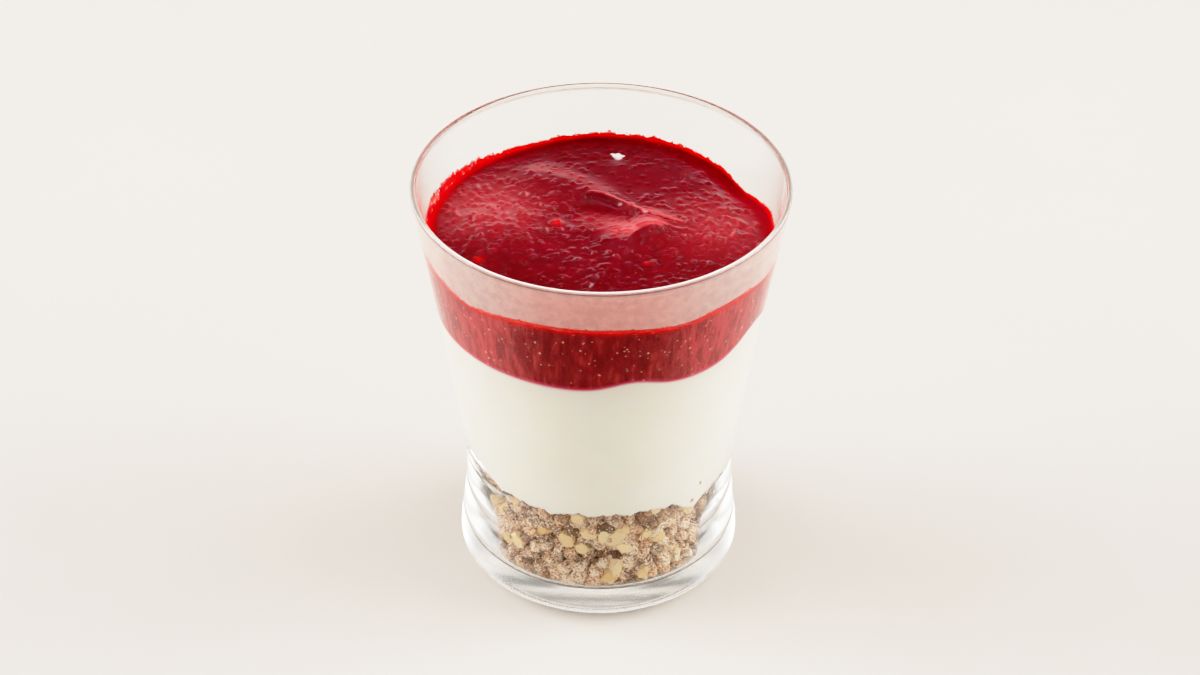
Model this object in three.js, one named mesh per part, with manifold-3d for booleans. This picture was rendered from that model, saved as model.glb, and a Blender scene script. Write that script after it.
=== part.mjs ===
// Raw cheesecake cup: a glass tumbler filled with a crumb and nut base, a thick layer of cream
// and a layer of fruit coulis spooned on top.
// Millimetres, +Z up. The origin is the middle of the foot, at the surface the glass stands on.
// The front of the cup is -Y, and an angle of 0 is the front, growing towards +X.

import * as THREE from 'three';
import { mergeVertices } from 'three/addons/utils/BufferGeometryUtils.js';
import Module from 'manifold-3d';

const wasm = await Module();
wasm.setup();

const DEGREE = Math.PI / 180;
const SEGMENTS = 64;
const CLEARANCE = 0.3;

// Glass tumbler
const HEIGHT = 100;
const LIP_THICKNESS = 1.3;
const LIP_STEPS = 6;
const FOOT_FLAT_INNER = 24;
const FOOT_FLAT_OUTER = 28;
const PUNT = { rise: 1.4, shoulderRadius: 19, shoulderRise: 1.05 };
const FOOT_CURVE = { radius: 4, centreRadius: 28.2, centreHeight: 5.2, from: -68, to: 10, steps: 4 };
const FOOT_EDGE = { radius: 28.75, height: 0.25 };
const CAVITY_FLOOR = 6.2;
const CAVITY_CORNER = 1.8;
const CORNER_STEPS = 3;
const OUTER_STEPS = 13;
const HOLLOW_STEPS = 8;

// Outer radius of the wall above the foot, by height: a slight waist, then a widening cone
const OUTER_STATIONS = [
  [8, 32.15], [14, 31.45], [20, 30.92], [26, 30.87], [34, 31.7], [50, 34.15], [70, 37.25], [99.3, 42.5],
];

// Radius of the hollow above its rounded corner, by height
const HOLLOW_STATIONS = [
  [8.4, 26.2], [18, 26.35], [27, 26.9], [35, 28.75], [50, 32.0], [70, 35.5], [88.5, 38.85], [99.3, 41.2],
];

// Fruit coulis. Its edge on the glass and the fall and rise of the spooned surface
const COULIS_EDGE = 88.3;
const COULIS_MIDDLE = 87.6;
const COULIS_EDGE_BAND = 6;
const COULIS_RINGS = 13;
const COULIS_SIDE_ROWS = 3;
const COULIS_WAVES = [
  { angle: -48, spread: 15, rise: -2.4 },
  { angle: -151, spread: 17, rise: -0.9 },
  { angle: 143, spread: 10, rise: -0.6 },
  { angle: 121, spread: 14, rise: -3.3 },
  { angle: 67, spread: 11, rise: -1.4 },
  { angle: 26, spread: 12, rise: -1.2 },
];
const RIDGE = { from: [-9.5, 18.2], bend: [4.5, 9.8], to: [17, -1.5], height: 2.6, front: 3.4, back: 7 };
const COULIS_MOUNDS = [
  { x: 2.5, y: 7.2, spread: 4.2, rise: -1.3 },
  { x: 10, y: -5.2, spread: 3.6, rise: -1.8 },
  { x: 15.5, y: -1.2, spread: 3, rise: 0.9 },
  { x: 5, y: 23, spread: 8, rise: -1.2 },
  { x: 3.5, y: 28.5, spread: 2.3, rise: 0.8 },
  { x: -10.1, y: 0.9, spread: 1.8, rise: 0.8 },
  { x: -27.1, y: -13.8, spread: 2, rise: 0.8 },
  { x: -19, y: 8, spread: 9, rise: 0.9 },
  { x: 22, y: 6, spread: 8, rise: 0.7 },
  { x: 2, y: -19, spread: 9, rise: 0.6 },
];
const PULP = { depth: 0.16, across: 0.9, along: 1.15, drift: 0.31, sway: 0.47 };
const RIDGE_STEPS = 24;

// Cream, with the uneven line where the coulis lies on it
const CREAM_EDGE = 69.8;
const CREAM_MIDDLE = 70.4;
const CREAM_EDGE_BAND = 14;
const CREAM_RINGS = 6;
const CREAM_SIDE_ROWS = 6;
const CREAM_WAVES = [
  { angle: 12, spread: 11, rise: 2.3 },
  { angle: 66, spread: 14, rise: 4.4 },
  { angle: 150, spread: 22, rise: 1.6 },
  { angle: -105, spread: 20, rise: 1.1 },
];

// Crumb and nut base
const BASE_EDGE = 29.2;
const BASE_MIDDLE = 29.8;
const BASE_EDGE_BAND = 14;
const BASE_RINGS = 6;
const BASE_WAVES = [
  { angle: -67, spread: 13, rise: 4.6 },
  { angle: -23, spread: 6, rise: -0.9 },
  { angle: 48, spread: 10, rise: -4.3 },
  { angle: 72, spread: 12, rise: -1.7 },
  { angle: 160, spread: 20, rise: 1.5 },
];
const CORE_INSET = 1.2;
const SEED = 41;
const CRUMB_ROWS = 4;
const CRUMBS_IN_ROW = 19;
const CRUMB_RADIUS = [1.6, 2.9];
const NUT_SIZE = [3.2, 4.6];
const NUT_SHARE = 0.3;
const CLUMP_PUSH = [0.75, 1.2];
const NUT_WIDTH = [0.55, 0.9];
const NUT_LENGTH = [0.7, 1.2];
const NUT_TAPER = [0.6, 1];
const ROW_SPREAD = 0.5;
const PLACE_SPREAD = 0.35;
const SIDE_MARGIN = 2.2;
const WALL_MARGIN = 0.4;
const TOP_MARGIN = 1;

// Finishes
const FINISHES = {
  glass: { color: 0xeef3f2, roughness: 0.03, metalness: 0, transparent: true, opacity: 0.35 },
  cream: { color: 0xf2ede2, roughness: 0.5, metalness: 0 },
  coulis: { color: 0x8e0a20, roughness: 0.18, metalness: 0 },
  crumb_base: { color: 0xb98a55, roughness: 0.85, metalness: 0 },
};

// A small repeatable source of random numbers between 0 and 1
function drawer(seed) {
  let state = seed;
  return () => {
    state = (state * 1664525 + 1013904223) % 4294967296;
    return state / 4294967296;
  };
}

function between(range, share) {
  return range[0] + (range[1] - range[0]) * share;
}

// A smooth curve through stations of height and radius, as points of radius and height
function curvePoints(stations, steps) {
  const points = stations.map(([height, radius]) => new THREE.Vector2(radius, height));
  const curve = new THREE.SplineCurve(points);
  return curve.getPoints(steps);
}

const outerWall = curvePoints(OUTER_STATIONS, OUTER_STEPS);
const hollowWall = curvePoints(HOLLOW_STATIONS, HOLLOW_STEPS);

// The rounded corner between the floor of the hollow and its wall, from the floor outwards
function hollowCorner() {
  const [height, radius] = HOLLOW_STATIONS[0];
  const points = [];
  for (let step = 0; step < CORNER_STEPS; step += 1) {
    const turn = (step / CORNER_STEPS) * 90 * DEGREE;
    points.push(new THREE.Vector2(
      radius - CAVITY_CORNER * (1 - Math.sin(turn)),
      height - (height - CAVITY_FLOOR) * Math.cos(turn),
    ));
  }
  return points;
}

const hollowProfile = [...hollowCorner(), ...hollowWall];

// Radius of the hollow at a height, along the same straight facets that the glass has
function hollowRadius(height) {
  const above = hollowProfile.findIndex((point) => point.y >= height);
  const upper = hollowProfile[Math.max(above, 1)];
  const lower = hollowProfile[Math.max(above, 1) - 1];
  return lower.x + ((upper.x - lower.x) * (height - lower.y)) / (upper.y - lower.y);
}

// A bell-shaped rise or fall, 1 at its middle
function bell(distance, spread) {
  return Math.exp(-((distance / spread) ** 2));
}

// How far an angle lies from another, in degrees and the short way round
function turnBetween(angle, other) {
  return ((((angle - other) % 360) + 540) % 360) - 180;
}

function angleOf(x, y) {
  return Math.atan2(x, -y) / DEGREE;
}

function edgeLevel(level, waves, angle) {
  const riseOf = (wave) => wave.rise * bell(turnBetween(angle, wave.angle), wave.spread);
  return waves.reduce((sum, wave) => sum + riseOf(wave), level);
}

// The level inside a layer: its middle level, blended into the uneven edge near the glass
function layerLevel(edge, middle, waves, band, x, y) {
  const radius = Math.hypot(x, y);
  const rim = edgeLevel(edge, waves, angleOf(x, y));
  const share = THREE.MathUtils.smoothstep(radius, hollowRadius(edge) - band, hollowRadius(edge));
  return middle + (rim - middle) * share;
}

const ridgePath = new THREE.QuadraticBezierCurve(
  new THREE.Vector2(...RIDGE.from),
  new THREE.Vector2(...RIDGE.bend),
  new THREE.Vector2(...RIDGE.to),
).getPoints(RIDGE_STEPS);

// The ridge left by the spoon: gentle behind its crest and steep in front of it
function ridgeRise(x, y) {
  const here = new THREE.Vector2(x, y);
  const closer = (best, point) => (here.distanceTo(point) < here.distanceTo(best) ? point : best);
  const nearest = ridgePath.reduce(closer);
  const spread = y < nearest.y ? RIDGE.front : RIDGE.back;
  return RIDGE.height * bell(here.distanceTo(nearest), spread);
}

// Soft unevenness of the fruit pulp: two crossing waves that wander
function pulpRise(x, y) {
  const crosswise = Math.sin(x * PULP.across + 2 * Math.sin(y * PULP.drift));
  const lengthwise = Math.sin(y * PULP.along + Math.sin(x * PULP.sway));
  return PULP.depth * (crosswise + lengthwise);
}

function coulisTop(x, y) {
  const mounds = COULIS_MOUNDS.reduce(
    (sum, mound) => sum + mound.rise * bell(Math.hypot(x - mound.x, y - mound.y), mound.spread),
    0,
  );
  const level = layerLevel(COULIS_EDGE, COULIS_MIDDLE, COULIS_WAVES, COULIS_EDGE_BAND, x, y);
  return level + mounds + ridgeRise(x, y) + pulpRise(x, y);
}

function creamTop(x, y) {
  return layerLevel(CREAM_EDGE, CREAM_MIDDLE, CREAM_WAVES, CREAM_EDGE_BAND, x, y);
}

function baseTop(x, y) {
  return layerLevel(BASE_EDGE, BASE_MIDDLE, BASE_WAVES, BASE_EDGE_BAND, x, y);
}

// A closed body turned round the Z axis, whose rings are given from the bottom pole to the top pole.
// Each ring is a function of the angle that gives a point. Squares are cut the same way on the top
// and on the bottom, so that the faces of two layers that touch run alike.
function turnedBody(bottomPole, rings, topPole) {
  const positions = [];
  const faces = [];
  rings.forEach((ring) => {
    for (let side = 0; side < SEGMENTS; side += 1) {
      positions.push(...ring((side / SEGMENTS) * 360));
    }
  });
  const bottom = rings.length * SEGMENTS;
  const top = bottom + 1;
  positions.push(...bottomPole, ...topPole);
  for (let side = 0; side < SEGMENTS; side += 1) {
    const next = (side + 1) % SEGMENTS;
    const last = (rings.length - 1) * SEGMENTS;
    faces.push(bottom, next, side);
    faces.push(top, last + side, last + next);
    for (let row = 0; row < rings.length - 1; row += 1) {
      const low = row * SEGMENTS;
      const high = low + SEGMENTS;
      const closesIn = rings[row + 1](0)[1] > rings[row](0)[1];
      if (closesIn) {
        faces.push(low + side, low + next, high + side);
        faces.push(low + next, high + next, high + side);
      } else {
        faces.push(low + side, low + next, high + next);
        faces.push(low + side, high + next, high + side);
      }
    }
  }
  const geometry = new THREE.BufferGeometry();
  geometry.setAttribute('position', new THREE.Float32BufferAttribute(positions, 3));
  geometry.setIndex(faces);
  return geometry;
}

// The point at an angle and radius, at a height that the layer's face gives
function facePoint(angle, radius, face, lift) {
  const x = radius * Math.sin(angle * DEGREE);
  const y = -radius * Math.cos(angle * DEGREE);
  return [x, y, face(x, y) + lift];
}

// The radius where a layer's face meets the glass, at an angle, less a clearance
function faceReach(angle, face, clearance) {
  let radius = hollowRadius(face(0, 0));
  for (let pass = 0; pass < 4; pass += 1) {
    radius = hollowRadius(facePoint(angle, radius, face, 0)[2]) - clearance;
  }
  return radius;
}

// A layer of the filling between two uneven faces, its side following the glass at a clearance
function layerBody({ bottom, top, lift, bottomRings, sideRows, topRings, clearance }) {
  const rings = [];
  const reach = (angle, face, share) => faceReach(angle, face, clearance) * share;
  for (let ring = 1; ring <= bottomRings; ring += 1) {
    rings.push((angle) => facePoint(angle, reach(angle, bottom, ring / bottomRings), bottom, lift));
  }
  for (let row = 1; row < sideRows; row += 1) {
    rings.push((angle) => {
      const low = facePoint(angle, reach(angle, bottom, 1), bottom, lift)[2];
      const high = facePoint(angle, reach(angle, top, 1), top, 0)[2];
      const height = low + ((high - low) * row) / sideRows;
      return facePoint(angle, hollowRadius(height) - clearance, () => height, 0);
    });
  }
  for (let ring = topRings; ring >= 1; ring -= 1) {
    rings.push((angle) => facePoint(angle, reach(angle, top, ring / topRings), top, 0));
  }
  return turnedBody([0, 0, bottom(0, 0) + lift], rings, [0, 0, top(0, 0)]);
}

function asSolid(geometry) {
  const bare = geometry.clone();
  bare.deleteAttribute('normal');
  bare.deleteAttribute('uv');
  const merged = mergeVertices(bare, 1e-5);
  return new wasm.Manifold(new wasm.Mesh({
    numProp: 3,
    vertProperties: new Float32Array(merged.attributes.position.array),
    triVerts: new Uint32Array(merged.index.array),
  }));
}

function asGeometry(solid) {
  const mesh = solid.getMesh();
  const geometry = new THREE.BufferGeometry();
  geometry.setAttribute('position', new THREE.BufferAttribute(new Float32Array(mesh.vertProperties), 3));
  geometry.setIndex(new THREE.BufferAttribute(new Uint32Array(mesh.triVerts), 1));
  return geometry;
}

function glassTumbler() {
  const outline = [new THREE.Vector2(0, PUNT.rise)];
  outline.push(new THREE.Vector2(PUNT.shoulderRadius, PUNT.shoulderRise));
  outline.push(new THREE.Vector2(FOOT_FLAT_INNER, 0), new THREE.Vector2(FOOT_FLAT_OUTER, 0));
  outline.push(new THREE.Vector2(FOOT_EDGE.radius, FOOT_EDGE.height));
  for (let step = 0; step <= FOOT_CURVE.steps; step += 1) {
    const turn = (FOOT_CURVE.from + ((FOOT_CURVE.to - FOOT_CURVE.from) * step) / FOOT_CURVE.steps) * DEGREE;
    outline.push(new THREE.Vector2(
      FOOT_CURVE.centreRadius + FOOT_CURVE.radius * Math.cos(turn),
      FOOT_CURVE.centreHeight + FOOT_CURVE.radius * Math.sin(turn),
    ));
  }
  outline.push(...outerWall);
  const lipRadius = LIP_THICKNESS / 2;
  const lipBase = outerWall.at(-1);
  for (let step = 1; step < LIP_STEPS; step += 1) {
    const turn = (step / LIP_STEPS) * Math.PI;
    outline.push(new THREE.Vector2(
      lipBase.x - lipRadius + lipRadius * Math.cos(turn),
      lipBase.y + (HEIGHT - lipBase.y) * Math.sin(turn),
    ));
  }
  outline.push(...[...hollowProfile].reverse(), new THREE.Vector2(0, CAVITY_FLOOR));
  const geometry = new THREE.LatheGeometry(outline, SEGMENTS);
  geometry.rotateX(Math.PI / 2);
  return geometry;
}

// The bare core of the base, a little inside the glass, with a rounded bottom edge
function baseCore() {
  const floor = CAVITY_FLOOR + CLEARANCE;
  const clearance = CLEARANCE + CORE_INSET;
  const rings = [(angle) => facePoint(angle, hollowProfile[0].x - clearance, () => floor, 0)];
  const corner = hollowProfile[CORNER_STEPS];
  rings.push((angle) => facePoint(angle, corner.x - clearance, () => corner.y, 0));
  rings.push((angle) => facePoint(angle, faceReach(angle, baseTop, clearance), baseTop, 0));
  for (let ring = BASE_RINGS - 1; ring >= 1; ring -= 1) {
    const share = ring / BASE_RINGS;
    rings.push((angle) => facePoint(angle, faceReach(angle, baseTop, CLEARANCE) * share, baseTop, 0));
  }
  return turnedBody([0, 0, floor], rings, [0, 0, baseTop(0, 0)]);
}

// A crumb clump: a rough ball with its corners pushed in and out
function crumbClump(radius, random) {
  const ball = new THREE.IcosahedronGeometry(radius, 0);
  const geometry = mergeVertices(ball.deleteAttribute('normal').deleteAttribute('uv'));
  const corners = geometry.attributes.position;
  for (let corner = 0; corner < corners.count; corner += 1) {
    const push = between(CLUMP_PUSH, random());
    const point = new THREE.Vector3().fromBufferAttribute(corners, corner).multiplyScalar(push);
    corners.setXYZ(corner, ...point);
  }
  return geometry;
}

// A chopped nut: a block with uneven cut faces
function choppedNut(size, random) {
  const width = size * between(NUT_WIDTH, random());
  const length = size * between(NUT_LENGTH, random());
  const block = new THREE.BoxGeometry(size, width, length);
  const geometry = mergeVertices(block.deleteAttribute('normal').deleteAttribute('uv'));
  const corners = geometry.attributes.position;
  for (let corner = 0; corner < corners.count; corner += 1) {
    const shrink = between(NUT_TAPER, random());
    corners.setX(corner, corners.getX(corner) * shrink);
    corners.setY(corner, corners.getY(corner) * shrink);
  }
  return geometry;
}

// Moves a piece inwards and down until all of it lies inside the hollow and under the base's top
function settle(piece) {
  const corners = piece.attributes.position;
  let inwards = 0;
  let down = 0;
  const middle = new THREE.Vector3();
  for (let corner = 0; corner < corners.count; corner += 1) {
    const point = new THREE.Vector3().fromBufferAttribute(corners, corner);
    middle.addScaledVector(point, 1 / corners.count);
    inwards = Math.max(inwards, Math.hypot(point.x, point.y) - hollowRadius(point.z) + WALL_MARGIN);
    down = Math.max(down, point.z - baseTop(point.x, point.y) + TOP_MARGIN);
  }
  const reach = Math.hypot(middle.x, middle.y);
  piece.translate((-middle.x / reach) * inwards, (-middle.y / reach) * inwards, -down);
}

// Crumbs and nuts stand out of a smaller core all round the side, up to the glass
function crumbBase() {
  const random = drawer(SEED);
  let body = asSolid(baseCore());
  for (let row = 0; row < CRUMB_ROWS; row += 1) {
    for (let place = 0; place < CRUMBS_IN_ROW; place += 1) {
      const shift = 0.5 * (row % 2) + PLACE_SPREAD * random();
      const angle = ((place + shift) / CRUMBS_IN_ROW) * 360;
      const roof = edgeLevel(BASE_EDGE, BASE_WAVES, angle) - SIDE_MARGIN;
      const floor = CAVITY_FLOOR + SIDE_MARGIN;
      const height = floor + ((roof - floor) * (row + 0.5 + ROW_SPREAD * (random() - 0.5))) / CRUMB_ROWS;
      const isNut = random() < NUT_SHARE;
      const piece = isNut
        ? choppedNut(between(NUT_SIZE, random()), random)
        : crumbClump(between(CRUMB_RADIUS, random()), random);
      const turn = new THREE.Euler(random() * Math.PI, random() * Math.PI, random() * Math.PI);
      piece.applyMatrix4(new THREE.Matrix4().makeRotationFromEuler(turn));
      piece.translate(...facePoint(angle, hollowRadius(height), () => height, 0));
      settle(piece);
      body = body.add(asSolid(piece));
    }
  }
  return asGeometry(body);
}

function creamLayer() {
  return layerBody({
    bottom: baseTop,
    top: creamTop,
    lift: CLEARANCE,
    bottomRings: BASE_RINGS,
    sideRows: CREAM_SIDE_ROWS,
    topRings: CREAM_RINGS,
    clearance: CLEARANCE,
  });
}

function coulisLayer() {
  return layerBody({
    bottom: creamTop,
    top: coulisTop,
    lift: CLEARANCE,
    bottomRings: CREAM_RINGS,
    sideRows: COULIS_SIDE_ROWS,
    topRings: COULIS_RINGS,
    clearance: CLEARANCE,
  });
}

function namedMesh(name, geometry) {
  const mesh = new THREE.Mesh(geometry, new THREE.MeshStandardMaterial(FINISHES[name]));
  mesh.name = name;
  return mesh;
}

const cup = new THREE.Group();
cup.add(namedMesh('glass', glassTumbler()));
cup.add(namedMesh('crumb_base', crumbBase()));
cup.add(namedMesh('cream', creamLayer()));
cup.add(namedMesh('coulis', coulisLayer()));

export default cup;
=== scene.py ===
import math

import bpy
import numpy as np
from bpy.props import FloatProperty, FloatVectorProperty, PointerProperty
from mathutils import Matrix, Vector


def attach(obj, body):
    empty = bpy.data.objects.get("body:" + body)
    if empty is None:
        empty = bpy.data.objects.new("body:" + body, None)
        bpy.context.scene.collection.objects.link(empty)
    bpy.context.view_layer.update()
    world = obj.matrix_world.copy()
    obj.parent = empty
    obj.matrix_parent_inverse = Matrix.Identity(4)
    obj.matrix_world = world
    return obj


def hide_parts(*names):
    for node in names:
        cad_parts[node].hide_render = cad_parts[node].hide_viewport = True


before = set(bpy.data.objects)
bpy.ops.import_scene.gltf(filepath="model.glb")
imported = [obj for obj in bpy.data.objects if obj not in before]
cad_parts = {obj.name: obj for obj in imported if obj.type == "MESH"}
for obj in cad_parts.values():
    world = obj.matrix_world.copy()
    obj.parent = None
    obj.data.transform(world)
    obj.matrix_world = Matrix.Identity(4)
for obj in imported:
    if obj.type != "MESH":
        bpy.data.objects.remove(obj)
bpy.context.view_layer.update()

bl_info = {
    "name": "Raw Cheesecake Cup",
    "version": (1, 0, 0),
    "blender": (4, 5, 0),
    "location": "3D View > Sidebar > Cheesecake",
    "description": "Makes a glass of raw cheesecake in layers of crumbs, cream and fruit coulis",
    "category": "Add Mesh",
}

MM = 0.001
BODY = "root"

# Glass tumbler, in millimetres. The stations of both walls, height and radius, are the solid glass's.
OUTER_WALL = [
    (8, 32.15), (14, 31.45), (20, 30.92), (26, 30.87), (34, 31.7), (50, 34.15), (70, 37.25), (99.3, 42.5),
]
HOLLOW_WALL = [
    (8.4, 26.2), (18, 26.35), (27, 26.9), (35, 28.75), (50, 32.0), (70, 35.5), (88.5, 38.85), (99.3, 41.2),
]
CURVE_STEPS = 24
CAVITY_FLOOR = 6.2
CAVITY_CORNER = 1.8
GLASS_HEIGHT = 100.0

# The rounds of the foot and of the lip: radius and height of their middles, and how wide the foot's is
FOOT_ROUND = (28.2, 5.2)
FOOT_ROUND_RADIUS = 4.0
LIP_ROUND = (41.85, 99.3)

# The uneven lines of the layers on the glass: each wave's angle, its width and its rise over the level.
# An angle of 0 is the front, -Y, and angles grow towards +X.
COULIS_EDGE = 88.3
COULIS_MIDDLE = 87.1
COULIS_WAVES = [
    (-48, 15, -2.4), (-151, 17, -0.9), (143, 10, -0.6), (121, 14, -3.3), (67, 11, -1.4), (26, 12, -1.2),
]
CREAM_EDGE = 69.8
CREAM_MIDDLE = 70.4
CREAM_WAVES = [(12, 11, 2.3), (66, 14, 4.4), (150, 22, 1.6), (-105, 20, 1.1)]
BASE_EDGE = 29.2
BASE_MIDDLE = 29.8
BASE_WAVES = [(-67, 13, 4.6), (-23, 6, -0.9), (48, 10, -4.3), (72, 12, -1.7), (160, 20, 1.5)]

# How far in from the glass a layer's face passes from its line on the glass to its level in the middle
LAYER_BAND = 14.0
COULIS_BAND = 17.0

# Where the coulis dips deepest on the glass, and where the film of its juice reaches highest
DIP_ANGLE = 121
FILM_ANGLE = -98

# How far the pulp climbs the glass, and how far its juice reaches over it, in millimetres
CLIMB = 0.5
FILM = 0.8

# What fills the glass reaches a hair into its wall, in millimetres, so that no air shows between them.
# The layers are a hair apart, and the film and the bloom on the glass are very thin.
CONTACT = 0.06
LAYER_GAP = 0.02
FILM_DEPTH = 0.14
BLOOM_DEPTH = 0.02

# The core of the base stands back from the wall, the floor and the cream
CORE_INSET = 1.5
CORE_LIFT = 0.35
CORE_DROP = 0.3
CORE_FLOOR_RADIUS = 22.0
CORE_RADIUS = 27

# How finely the pieces are divided: points round a ring, and rings up the wall of the glass
GLASS_SEGMENTS = 192
LAYER_SEGMENTS = 480
CORE_SEGMENTS = 160
BLOOM_RINGS = 30
FILM_RINGS = 12
COULIS_RINGS = 22
CREAM_RINGS = 64
CORE_RINGS = 26
CORE_FLOOR_RINGS = 4

# Where the rings of a layer's face lie: on a hidden face as shares of the way in from the glass, which is
# so long at the cream's line and at the base's, and on the coulis's top in millimetres, closest at its edge
HIDDEN_RINGS = np.linspace(1, 0, 9)[1:-1]
CREAM_REACH = 35
BASE_REACH = 28
COULIS_STEPS = np.concatenate([[0.1, 0.2, 0.32, 0.46, 0.62, 0.8, 1.0, 1.2], np.arange(1.45, 38.2, 0.25)])

# The spooned surface of the coulis, in millimetres: the crests of the two folds that the spoon left,
# the far one from its left end on and the near one from its right, and the creases along them
FAR_CREST = [
    (-14.5, 21.8), (-9.3, 19.4), (-6.6, 17.6), (-3.6, 15.2), (-1.2, 14.2), (1.6, 13.2), (4.4, 11.6),
    (7.0, 9.6), (9.1, 7.8), (12.3, 5.8), (16.2, 3.9), (18.6, 3.2),
]
NEAR_CREST = [
    (18.6, 2.8), (15.5, 1.6), (12.7, 0.5), (10.0, -0.5), (7.6, -2.2), (6.1, -5.0), (5.2, -8.0), (3.8, -11.0),
    (2.4, -14.6), (0.4, -18.0),
]
CREASES = [
    [(-3.2, 13.6), (-1.6, 13.6), (0.0, 13.0), (2.2, 11.9), (4.2, 10.6)],
    [(8.9, 7.6), (10.6, 6.2), (12.4, 5.1), (14.4, 4.2), (16.4, 3.3)],
    [(8.4, 0.3), (10.2, 1.2), (12.2, 1.3), (13.6, 0.6), (14.6, -0.8)],
]
FAR_FOLD = {"wide": 2.6, "reach": 15.0, "depth": 0.85}

# Mounds and hollows of the coulis: place, width and rise. Bright red lumps in it, their red partly painted
# light shining through them: place and width.
MOUNDS = [
    (-22.0, -2.5, 11.0, 1.7), (24.0, 2.0, 9.0, 0.25), (-9.9, 2.4, 1.2, 0.7), (10.2, -13.0, 1.0, 0.4),
    (3.4, 30.8, 2.2, -0.5), (-8.0, -14.0, 6.0, 0.4), (22.7, 24.0, 1.1, 0.4),
]
RED_LUMPS = [(-9.9, 2.4, 1.15), (-26.9, -12.0, 1.0), (10.2, -13.0, 0.5)]

# Small lumps and bubbles of the pulp: how many are drawn, and how far out
LUMP_DRAWS = 1500
LUMP_REACH = 36.5

# The dab of cream in the coulis: its place and half its size
CREAM_DAB = (3.5, 31.7)
DAB_SIZE = (2.5, 1.4)

# Chopped nuts that show against the glass: angle and height
NUTS_SEEN = [
    (-16.2, 20.3), (-4.9, 22.3), (3.9, 22.4), (8.1, 21.1), (12.9, 18.0), (23.9, 21.9), (35.3, 15.5),
    (8.7, 12.1), (4.6, 10.1), (21.3, 10.0), (-52.3, 21.8), (-47.9, 14.6),
]

# Crumbs that the cream carried up the glass: angle and height
STRAY_CRUMBS = [
    (-79, 33.4), (-76, 32.6), (-73.5, 33.0), (-70, 32.0), (-67.5, 31.2), (-64, 31.6), (-61, 30.4),
    (-58, 30.6), (-55.5, 29.6), (-53, 30.0), (-51, 29.2), (77.3, 26.4), (50.4, 31.6), (68.9, 19.7),
    (60, 25.6), (56, 26.6), (64, 24.2), (47, 27.0),
]

# The photograph's camera: its place, what it looks at, its lens and its slight roll
CAMERA_PLACE = (0.0, -0.7210, 0.5793)
CAMERA_TARGET = (0.0, 0.0, 0.05792)
CAMERA_LENS = 117.1
CAMERA_ROLL = math.radians(0.48)

# The floor, in millimetres: half its width, and how far below the foot it lies, so that air stays between
FLOOR_HALF = 3000
FLOOR_DROP = 0.05

# The room's light: its colour, the strengths of its parts, and how often it is passed on
LIGHT_COLOUR = (1.0, 0.975, 0.945, 1.0)
ROOM_LIGHT = 0.12
WINDOW_LIGHT = 15.5
BACK_LIGHT = 2.45
CEILING_LIGHT = 1.2
FRONT_LIGHT = 0.25
LIGHT_BOUNCES = 20

# How bright light shows in the picture, from its toe in the darks up to the brightest
BRIGHTEST = 4.0
SHOULDER = [
    (0.02, 0.002), (0.04, 0.011), (0.07, 0.04), (0.12, 0.1), (0.2, 0.19), (0.4, 0.395),
    (0.6, 0.575), (0.8, 0.713), (1.0, 0.805), (1.3, 0.882), (1.7, 0.935), (2.3, 0.973), (3.0, 0.994),
]


def smooth_wall(stations):
    """The smooth curve through stations of height and radius, as arrays of heights and radii."""
    points = np.array(stations, float)
    count = len(points)
    steps = np.linspace(0, count - 1, CURVE_STEPS * (count - 1) + 1)
    curve = []
    for step in steps:
        piece = min(int(step), count - 2)
        share = step - piece
        before, start = points[max(piece - 1, 0)], points[piece]
        end, after = points[piece + 1], points[min(piece + 2, count - 1)]
        leave, arrive = (end - before) / 2, (after - start) / 2
        cubic = 2 * start - 2 * end + leave + arrive
        square = -3 * start + 3 * end - 2 * leave - arrive
        curve.append(cubic * share**3 + square * share**2 + leave * share + start)
    return np.array(curve).T


OUTER_HEIGHTS, OUTER_RADII = smooth_wall(OUTER_WALL)
HOLLOW_HEIGHTS, HOLLOW_RADII = smooth_wall(HOLLOW_WALL)


def hollow_radius(height):
    """Radius of the glass's hollow at a height, with its rounded bottom corner."""
    wall = np.interp(height, HOLLOW_HEIGHTS, HOLLOW_RADII)
    corner_height, corner_radius = HOLLOW_WALL[0]
    drop = np.clip((corner_height - height) / (corner_height - CAVITY_FLOOR), 0, 1)
    return np.where(height < corner_height, corner_radius - CAVITY_CORNER * (1 - np.sqrt(1 - drop**2)), wall)


def angle_of(x, y):
    """The angle of a place round the glass."""
    return np.degrees(np.arctan2(x, -y))


def turn_from(angles, middle):
    """How far round the glass angles are from a middle one, from -180 to 180."""
    return (angles - middle + 180) % 360 - 180


def bell(distance, spread):
    """A smooth hump: 1 at no distance, and near 0 from twice its spread on."""
    return np.exp(-((distance / spread) ** 2))


def smoothstep(value, low, high):
    """How far a value is from low to high, from 0 to 1 and eased at both ends."""
    share = np.clip((value - low) / (high - low), 0, 1)
    return share * share * (3 - 2 * share)


def edge_level(level, waves, angle):
    """Height of a layer's line on the glass at an angle."""
    for middle, spread, rise in waves:
        level = level + rise * bell(turn_from(angle, middle), spread)
    return level


def layer_level(edge, middle, waves, x, y):
    """Height of a layer's face at a place, from its middle out to its uneven edge."""
    share = smoothstep(np.hypot(x, y), hollow_radius(edge) - LAYER_BAND, hollow_radius(edge))
    return middle + (edge_level(edge, waves, angle_of(x, y)) - middle) * share


# Heights of the layers' faces at a place

def cream_top(x, y):
    return layer_level(CREAM_EDGE, CREAM_MIDDLE, CREAM_WAVES, x, y)


def base_top(x, y):
    return layer_level(BASE_EDGE, BASE_MIDDLE, BASE_WAVES, x, y)


def coulis_floor(x, y):
    return cream_top(x, y) + LAYER_GAP


def cream_floor(x, y):
    return base_top(x, y) + LAYER_GAP


def core_top(x, y):
    return base_top(x, y) - CORE_DROP


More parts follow.
